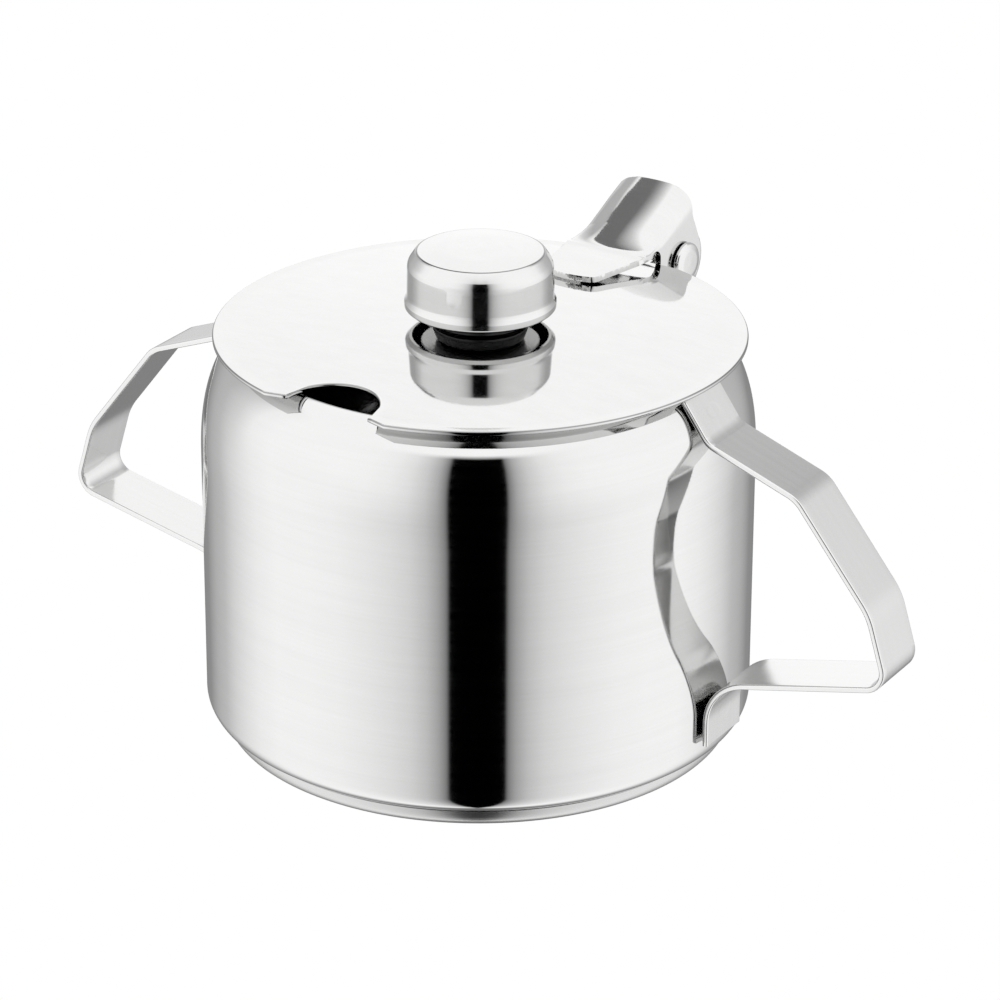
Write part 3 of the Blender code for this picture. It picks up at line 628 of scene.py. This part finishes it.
head_high = washer_high - 0.8 - GAP
screw_top = nut_low + 3.2 + 0.9
screw = filleted([(0, screw_top, 0), (SCREW_R, screw_top, 0.35), (SCREW_R, head_high, 0.1), (4.0, head_high, 0.12),
                  (4.0, head_high - 0.6, 0.3), (3.2, head_high - 2.1, 0.9), (0, head_high - 2.4, 0)], 8)
recess = []
for turn in (0.0, math.pi / 2):
    rot = Matrix.Rotation(turn, 2)
    cross = [rot @ Vector(p) + Vector((0, LID_SHIFT)) for p in ((-2.0, -0.42), (2.0, -0.42), (2.0, 0.42), (-2.0, 0.42))]
    recess.append(("DIFFERENCE", prism(cross, head_high - 4, head_high - 1.1)))
steel_screw = steel("steel_screw", tint=0.58, rough=0.18, marks="turned", depth=2.0, spread=0.05, centre_y=LID_SHIFT)
knob_screw = placed("knob_screw_fine", joined(turned(dense(screw, 0.8), 96, closed=False, centre=knob_at), recess),
                    steel_screw, "lid", "knob_screw", sharp=35)


# ---- handles ---------------------------------------------------------------------------------------
def strap(name, side):
    tab_r = WALL_R + GAP + STRAP_T
    face = filleted([(42.6, 69.4, 0), (47.2, 62.9, 3.5), (63.6, 56.8, 6.0), (77.5, 39.2, 12.0), (81.4, 26.3, 4.0),
                     (tab_r, 18.8, 8.0), (tab_r, 7.9, 0)], 4)
    face = dense(face, 1.2)
    back = beside(face, -STRAP_T)
    run = [0.0]
    for p, q in zip(face, face[1:]):
        run.append(run[-1] + (q - p).length)
    # section across the strap: flat faces, rounded long edges
    half, thick, rim = STRAP_W / 2, STRAP_T, 0.32
    section = []
    for cx, cy, a0 in ((half - rim, 1 - rim / thick, 90), (half - rim, rim / thick, 0), (-half + rim, rim / thick, -90),
                       (-half + rim, 1 - rim / thick, -180)):
        for k in range(5):
            a = math.radians(a0 - 90 * k / 4)
            section.append((cx + rim * math.cos(a), cy + rim / thick * math.sin(a)))
    across = []
    n = len(section)
    for i in range(n):
        p, q = Vector(section[i]), Vector(section[(i + 1) % n])
        k = max(1, math.ceil(abs(q.x - p.x) / 1.3))
        across += [p.lerp(q, j / k) for j in range(k)]
    n = len(across)
    bm = bmesh.new()
    uv = bm.loops.layers.uv.new("UVMap")
    yaw = Matrix.Rotation(math.radians(HANDLE_YAW + (0 if side > 0 else 180)), 3, "Z")
    # short end caps: each end is closed by one flat face
    stations = []
    for i in range(len(face)):
        stations.append((face[i], back[i], run[i], 0.0))
    rings = []
    for f, b, s, shrink in stations:
        ring = []
        for w, d in across:
            p = b.lerp(f, d)
            ring.append((bm.verts.new(yaw @ Vector((p.x, w, p.y))), s, w))
        rings.append(ring)

    def quad(parts):
        f = bm.faces.new([v for v, _, _ in parts])
        for loop, (_, s, w) in zip(f.loops, parts):
            loop[uv].uv = (s * MM, w * MM)

    for one, two in zip(rings, rings[1:]):
        for k in range(n):
            m = (k + 1) % n
            quad((one[k], one[m], two[m], two[k]))
    for ring in (rings[0][::-1], rings[-1]):
        quad(ring)
    mat = steel("steel_" + name, tint=0.68, rough=0.14, marks="lengthwise", depth=1.6, spread=0.04,
                weld=((3.9, 0.0, 1.5, 2.1), (run[-1] - 5.0, 0.0, 1.6, 2.2)))
    return made(name + "_fine", bm, mat, "bowl", name, bevel=0.18, sharp=40)


handle_left = strap("handle_left", -1)
handle_right = strap("handle_right", 1)


# ---- hinge hood -------------------------------------------------------------------------------------
def under_tongue(y):
    return dome(HOOD_FRONT_Y - LID_SHIFT) + GAP + (y - HOOD_FRONT_Y) * 0.0246


def roof(y):
    fold = under_tongue(HOOD_FOLD_Y) + HOOD_T
    slope = (HOOD_REAR_DZ - fold) / (HOOD_REAR_Y - HOOD_FOLD_Y)
    soft = 1.5
    if y < HOOD_FOLD_Y - soft:
        return under_tongue(y) + HOOD_T
    if y < HOOD_FOLD_Y + soft:
        t = (y - HOOD_FOLD_Y + soft) / (2 * soft)
        low = under_tongue(HOOD_FOLD_Y - soft) + HOOD_T
        return (1 - t) ** 2 * low + 2 * t * (1 - t) * fold + t * t * (fold + slope * soft)
    return fold + slope * (y - HOOD_FOLD_Y)


def tongue_top(y):
    return under_tongue(y) + HOOD_T


def rise(y):
    """Height of the arch: the roof leaves the tongue at the fold, and its
    sides stay at the tongue's level until the arch is full."""
    t = min(max((y - HOOD_FOLD_Y) / (HOOD_REAR_Y - HOOD_FOLD_Y), 0.0), 1.0)
    return max(min(HOOD_ARCH * t ** 0.5, roof(y) - tongue_top(y)), 0.0)


def fullness(y):
    """Exponent of the arch: nearly a gable at the fold, a full arch at the rear."""
    t = min(max((y - HOOD_FOLD_Y) / 9.0, 0.0), 1.0)
    return 1.45 + 0.75 * t * t * (3 - 2 * t) + 0.5 * smooth_step((y - 45.0) / 7.0)


def hood_width(y):
    """Half width: it widens towards the fold, and its front corners are rounded."""
    w = HOOD_FRONT_W + (HOOD_W - HOOD_FRONT_W) * min(max((y - HOOD_FRONT_Y) / 13.0, 0.0), 1.0)
    d = y - HOOD_FRONT_Y
    if d < 0.9:
        w -= 0.9 * (1 - math.sqrt(max(1 - ((0.9 - d) / 0.9) ** 2, 0.0)))
    return w


def smooth_step(t):
    t = min(max(t, 0.0), 1.0)
    return t * t * (3 - 2 * t)


def hood_mesh():
    """The pressed sheet as two grids, its outer and inner faces, from one side's
    lower edge over the roof to the other's, closed by the cut edges."""
    t = HOOD_T
    knee_z = tongue_top(CHEEK_FRONT_Y)
    side = filleted([(HOOD_FRONT_Y, tongue_top(HOOD_FRONT_Y), 0), (CHEEK_FRONT_Y, knee_z, 1.7),
                     (CHEEK_FRONT_Y, PIN_DZ - LOBE_R, 5.2), (PIN_Y, PIN_DZ - LOBE_R, 0)], 5)
    lobe = arc(PIN_Y, PIN_DZ, LOBE_R, -90, 36, 40)[1:]
    rear_shoulder = roof(HOOD_REAR_Y) - rise(HOOD_REAR_Y)
    back = filleted([(lobe[-1].x, lobe[-1].y, 0), (54.85, 5.3, 4.0), (HOOD_REAR_Y, rear_shoulder, 0)], 4)[1:]
    edge = dense(side + lobe + back, 0.4)
    fine = [Vector((HOOD_FRONT_Y + d, tongue_top(HOOD_FRONT_Y + d))) for d in (0.0, 0.02, 0.08, 0.18, 0.32, 0.5, 0.7, 0.9)]
    edge = fine + [p for p in edge if p.x > HOOD_FRONT_Y + 1.0 or p.y < -1]
    run = [0.0]
    for p, q in zip(edge, edge[1:]):
        run.append(run[-1] + (q - p).length)
    knee = max(i for i, p in enumerate(edge) if abs(p.y - tongue_top(p.x)) < 0.02 and p.x < CHEEK_FRONT_Y)
    turn_end = next(i for i in range(knee, len(edge)) if edge[i].x > CHEEK_FRONT_Y - 0.02)
    arch_steps, leg_steps = 24, 14
    outer, inner = [], []
    for i, p in enumerate(edge):
        if i <= knee:
            y = p.x
        else:
            f = (run[i] - run[knee]) / (run[-1] - run[knee])
            y = edge[knee].x + (HOOD_REAR_Y - edge[knee].x) * f
        bent = smooth_step((run[i] - run[knee] + 1.6) / (run[turn_end] - run[knee] + 1.6))
        one, two = [], []
        for place, w, top, low in ((one, hood_width(y), roof(y), Vector((p.x, p.y))),
                                   (two, hood_width(y) - t * bent, roof(y) - t, Vector((p.x, p.y - t * (1 - bent))))):
            lift, n = rise(y), fullness(y)
            shoulder = Vector((y, top - lift))
            for k in range(leg_steps):
                q = low.lerp(shoulder, k / leg_steps)
                place.append(Vector((w, q.x, q.y)))
            blend = smooth_step(lift / 1.2)
            for k in range(arch_steps + 1):
                a = math.pi / 2 * k / arch_steps
                x = w * ((math.cos(a) ** (2 / n) if k < arch_steps else 0.0) * blend + (1 - k / arch_steps) * (1 - blend))
                z = top - lift + lift * (max(1 - (x / w) ** n, 0.0)) ** (1 / n)
                place.append(Vector((x, y, z)))
        outer.append(one)
        inner.append(two)
    bm = bmesh.new()

    def sheet(rows):
        grid = []
        for row in rows:
            full = row + [Vector((-v.x, v.y, v.z)) for v in row[-2::-1]]
            line = []
            for v in full:
                y = v.y
                if y < HOOD_FOLD_Y - 2:
                    fade = 1 - (y - HOOD_FRONT_Y) / (HOOD_FOLD_Y - 2 - HOOD_FRONT_Y)
                    y += (HOOD_FRONT_ARC - math.sqrt(HOOD_FRONT_ARC ** 2 - v.x ** 2)) * fade
                line.append(bm.verts.new((v.x, y, LID_Z + v.z)))
            grid.append(line)
        return grid

    top, low = sheet(outer), sheet(inner)
    wide = len(top[0])
    for i in range(len(top) - 1):
        for k in range(wide - 1):
            bm.faces.new((top[i][k], top[i + 1][k], top[i + 1][k + 1], top[i][k + 1]))
            bm.faces.new((low[i][k], low[i][k + 1], low[i + 1][k + 1], low[i + 1][k]))
        bm.faces.new((top[i][0], low[i][0], low[i + 1][0], top[i + 1][0]))
        bm.faces.new((top[i][-1], top[i + 1][-1], low[i + 1][-1], low[i][-1]))
    for k in range(wide - 1):
        bm.faces.new((top[0][k], top[0][k + 1], low[0][k + 1], low[0][k]))
        bm.faces.new((top[-1][k], low[-1][k], low[-1][k + 1], top[-1][k + 1]))
    bmesh.ops.remove_doubles(bm, verts=bm.verts, dist=0.004)
    bmesh.ops.dissolve_degenerate(bm, edges=bm.edges, dist=0.001)
    bmesh.ops.recalc_face_normals(bm, faces=bm.faces)
    for v in bm.verts:
        v.co = v.co * MM
    mesh = bpy.data.meshes.new("hood_face")
    bm.to_mesh(mesh)
    bm.free()
    return mesh


steel_hood = steel("steel_hood", tint=0.66, rough=0.07, marks="plain", depth=0.8, spread=0.02)
hood = placed("hinge_hood_fine", hood_mesh(), steel_hood, "lid", "hinge_hood", bevel=0.16, sharp=50)

# ---- hinge rivet ---------------------------------------------------------------------------------------
head_in, head_h = HOOD_W + GAP, 1.3
half_pin = filleted([(0, 0, 0), (0, head_in + head_h, 0), (2.3, head_in + head_h - 0.08, 2.0), (PIN_HEAD_R, head_in + head_h - 0.45, 0.6),
                     (PIN_HEAD_R, head_in, 0.15), (PIN_R, head_in, 0.1), (PIN_R, 0, 0)], 8)[1:]
upper = dense(half_pin, 0.5)
pin_profile = upper + [Vector((p.x, -p.y)) for p in upper[::-1][1:]]
pin_bm = turned(pin_profile, 96, closed=False)
bmesh.ops.rotate(pin_bm, cent=(0, 0, 0), matrix=Matrix.Rotation(math.pi / 2, 3, "Y"), verts=pin_bm.verts)
bmesh.ops.translate(pin_bm, vec=(0, PIN_Y, PIN_Z), verts=pin_bm.verts)
hinge_rivet = made("hinge_rivet_fine", pin_bm, steel("steel_rivet", tint=0.66, rough=0.09, marks="plain", depth=1.0, spread=0.03),
                   "lid", "hinge_rivet", sharp=50)

# ---- hinge bracket ------------------------------------------------------------------------------------------
pad_y = WALL_R + GAP
stop_y = PIN_Y + STOP_BACK
boss = arc(PIN_Y, PIN_Z, BOSS_R, -18, 180, 48)
ear = [Vector((pad_y, 46.0)), Vector((pad_y + 1.6, 46.0)), Vector((pad_y + 2.6, 48.0))] + boss + \
      [Vector((PIN_Y - BOSS_R, PIN_Z - 2.5)), Vector((pad_y, PIN_Z - 4.0))]
hollow = [Vector((pad_y + BRACKET_T, 44.0)), Vector((stop_y, 44.0)), Vector((stop_y, PIN_Z + 8)),
          Vector((pad_y - 6, PIN_Z + 8)), Vector((pad_y - 6, 63.0)), Vector((pad_y + BRACKET_T, 63.0))]
web = [(stop_y, PIN_Z - 5.0), (stop_y + 0.9, PIN_Z - 5.0), (stop_y + 0.9, PIN_Z + STOP_UP), (stop_y, PIN_Z + STOP_UP)]
wide = [(stop_y, PIN_Z - 5.0), (stop_y + 0.9, PIN_Z - 5.0), (stop_y + 0.9, PIN_Z + 1.2), (stop_y, PIN_Z + 1.2)]
behind = [(stop_y + 0.9, 44.0), (PIN_Y + 12, 44.0), (PIN_Y + 12, PIN_Z + 8), (stop_y + 0.9, PIN_Z + 8)]
bore = [(PIN_Y + (PIN_R + 0.08) * math.cos(2 * math.pi * k / 64), PIN_Z + (PIN_R + 0.08) * math.sin(2 * math.pi * k / 64)) for k in range(64)]
bracket_mesh = joined(prism(ear, -BRACKET_W, BRACKET_W, "X"), [
    ("DIFFERENCE", prism(hollow, -BRACKET_W + BRACKET_T, BRACKET_W - BRACKET_T, "X")),
    ("UNION", prism(wide, -BRACKET_W + 0.4, BRACKET_W - 0.4, "X")),
    ("UNION", prism(web, -4.0, 4.0, "X")),
    ("DIFFERENCE", prism(behind, -BRACKET_W + BRACKET_T, BRACKET_W - BRACKET_T, "X")),
    ("DIFFERENCE", prism(bore, -12, 12, "X"))])
hinge_bracket = placed("hinge_bracket_fine", bracket_mesh,
                       steel("steel_bracket", tint=0.60, rough=0.18, marks="plain", depth=2.0, spread=0.05),
                       "bowl", "hinge_bracket", bevel=0.15, sharp=30)

# ---- floor ----------------------------------------------------------------------------------------------------
floor_mesh = bpy.data.meshes.new("floor")
reach = 4.0
floor_mesh.from_pydata([(-reach, -reach, -0.0002), (reach, -reach, -0.0002), (reach, reach, -0.0002), (-reach, reach, -0.0002)], [], [(0, 1, 2, 3)])
floor = bpy.data.objects.new("floor", floor_mesh)
bpy.context.scene.collection.objects.link(floor)
floor_mat = bpy.data.materials.new("floor")
floor_mat.use_nodes = True
tree = Tree(floor_mat.node_tree)
for n in list(tree.tree.nodes):
    tree.tree.nodes.remove(n)
glow = tree.node("ShaderNodeEmission")
glow.inputs["Color"].default_value = (1, 1, 1, 1)
glow.inputs["Strength"].default_value = 1.0
tree.link(glow.outputs[0], tree.node("ShaderNodeOutputMaterial").inputs[0])
floor_mesh.materials.append(floor_mat)
floor.visible_glossy = False
floor.visible_diffuse = False
floor.visible_shadow = False

# ---- camera -------------------------------------------------------------------------------------------------------
AZ, EL, ROLL = math.radians(30.82 + HANDLE_YAW), math.radians(23.54), math.radians(0.21)
right = Vector((math.cos(AZ), math.sin(AZ), 0))
back = Vector((math.sin(AZ) * math.cos(EL), -math.cos(AZ) * math.cos(EL), math.sin(EL)))
up = back.cross(right)
r2 = right * math.cos(ROLL) + up * math.sin(ROLL)
u2 = up * math.cos(ROLL) - right * math.sin(ROLL)
unit = 0.045
spot = (r2 * 0.0794 + u2 * -0.635 + back * 16.35) * unit + Vector((0, 0, LID_Z * MM))
camera_data = bpy.data.cameras.new("camera")
camera_data.sensor_width = 36.0
camera_data.lens = 268.1 * 16.35 / 1000 * 36.0
camera_data.clip_start, camera_data.clip_end = 0.01, 50.0
camera = bpy.data.objects.new("camera", camera_data)
camera.matrix_world = Matrix((
    (r2.x, u2.x, back.x, spot.x), (r2.y, u2.y, back.y, spot.y), (r2.z, u2.z, back.z, spot.z), (0, 0, 0, 1)))
bpy.context.scene.collection.objects.link(camera)
bpy.context.scene.camera = camera

# ---- studio: a white tent with the camera's slot, as a function of direction -----------------------------------------
world = bpy.data.worlds.new("studio")
bpy.context.scene.world = world
world.use_nodes = True
w = Tree(world.node_tree)
for n in list(w.tree.nodes):
    w.tree.nodes.remove(n)
coord = w.node("ShaderNodeTexCoord")
part = w.node("ShaderNodeSeparateXYZ")
w.link(coord.outputs["Generated"], part.inputs[0])
dx, dy, dz = part.outputs
to_cam = (math.sin(AZ), -math.cos(AZ))
side = (math.cos(AZ), math.sin(AZ))
fore = w.math("ADD", w.math("MULTIPLY", dx, to_cam[0]), w.math("MULTIPLY", dy, to_cam[1]))
lateral = w.math("ADD", w.math("MULTIPLY", dx, side[0]), w.math("MULTIPLY", dy, side[1]))
azimuth = w.math("MULTIPLY", w.math("ABSOLUTE", w.math("ARCTAN2", lateral, fore)), 1 / math.pi)
elevation = w.math("MULTIPLY", w.math("ARCSINE", dz), 180 / math.pi)


def ramp(fac, stops, gain):
    n = w.node("ShaderNodeValToRGB")
    w.put(n.inputs[0], fac)
    n.color_ramp.interpolation = "LINEAR"
    while len(n.color_ramp.elements) > 1:
        n.color_ramp.elements.remove(n.color_ramp.elements[-1])
    for k, (degrees, level) in enumerate(stops):
        e = n.color_ramp.elements[0] if k == 0 else n.color_ramp.elements.new(degrees / 180)
        e.position = degrees / 180
        e.color = (level * gain, level * gain, level * gain, 1)
    return n.outputs[0]


GAIN = 1.0
low = ramp(azimuth, [(0, 0.0), (11.4, 0.0), (12.8, 0.2), (16, 0.35), (21, 0.5), (28, 0.63), (36, 0.71), (46, 0.78), (60, 0.85),
                     (75, 0.88), (92, 0.88), (104, 0.82), (113, 0.73), (122, 0.62), (132, 0.46), (142, 0.38), (155, 0.22), (180, 0.14)], GAIN)
high = ramp(azimuth, [(0, 0.0), (11.4, 0.0), (12.8, 0.2), (16, 0.4), (21, 0.58), (28, 0.74), (36, 0.83), (46, 0.88), (60, 0.9),
                      (95, 0.9), (108, 0.85), (120, 0.62), (134, 0.45), (152, 0.4), (162, 0.6), (169, 0.86), (180, 0.88)], GAIN)
tent = w.mix(w.spread(elevation, -14.0, 6.0, 0.0, 1.0), low, high)
# the slot ends below the roof of the tent
tent = w.mix(w.spread(elevation, 41.0, 47.0, 0.0, 1.0), tent, (0.9, 0.9, 0.9, 1))
shine = w.node("ShaderNodeBackground")
w.link(tent, shine.inputs["Color"])
shine.inputs["Strength"].default_value = 1.5
plain = w.node("ShaderNodeBackground")
plain.inputs["Color"].default_value = (1, 1, 1, 1)
plain.inputs["Strength"].default_value = 1.0
path = w.node("ShaderNodeLightPath")
choose = w.node("ShaderNodeMixShader")
w.link(path.outputs["Is Camera Ray"], choose.inputs[0])
w.link(shine.outputs[0], choose.inputs[1])
w.link(plain.outputs[0], choose.inputs[2])
w.link(choose.outputs[0], w.node("ShaderNodeOutputWorld").inputs[0])
bpy.context.scene.view_settings.view_transform = "Standard"

# ---- a dark card of the studio, over the left of the hinge: only reflections see it ----------------------------------
card_rows = []
for k in range(13):
    climb = math.radians(35 + 45 * k / 12)
    high_z = 75 + math.sin(climb) * 110
    # its far edge stays above what the lid's flat top reflects
    far = 69.0 + max(high_z - 152.0, 0.0) * 0.9
    card_rows.append([Vector((-math.cos(climb) * 110, deep, high_z)) for deep in (21.0, far)])
bm = bmesh.new()
rows = [[bm.verts.new(p * MM) for p in row] for row in card_rows]
for one, two in zip(rows, rows[1:]):
    bm.faces.new((one[0], one[1], two[1], two[0]))
card_mesh = bpy.data.meshes.new("studio_card")
bm.to_mesh(card_mesh)
bm.free()
card = bpy.data.objects.new("studio_card", card_mesh)
bpy.context.scene.collection.objects.link(card)
card_mat = bpy.data.materials.new("studio_card")
card_mat.use_nodes = True
tree = Tree(card_mat.node_tree)
for n in list(tree.tree.nodes):
    tree.tree.nodes.remove(n)
dim = tree.node("ShaderNodeEmission")
where = tree.node("ShaderNodeSeparateXYZ")
tree.link(tree.node("ShaderNodeTexCoord").outputs["Object"], where.inputs[0])
turn_up = tree.math("ARCTAN2", tree.math("SUBTRACT", where.outputs[2], 75 * MM), tree.math("MULTIPLY", where.outputs[0], -1.0))
light = tree.math("ADD", tree.spread(turn_up, math.radians(62), math.radians(79), 0.22, 1.35),
                  tree.spread(turn_up, math.radians(38), math.radians(35), 0.0, 1.0))
tree.link(tree.combine(light, light, light), dim.inputs["Color"])
tree.link(dim.outputs[0], tree.node("ShaderNodeOutputMaterial").inputs[0])
card_mesh.materials.append(card_mat)
card.visible_camera = False
card.visible_diffuse = False
card.visible_shadow = False
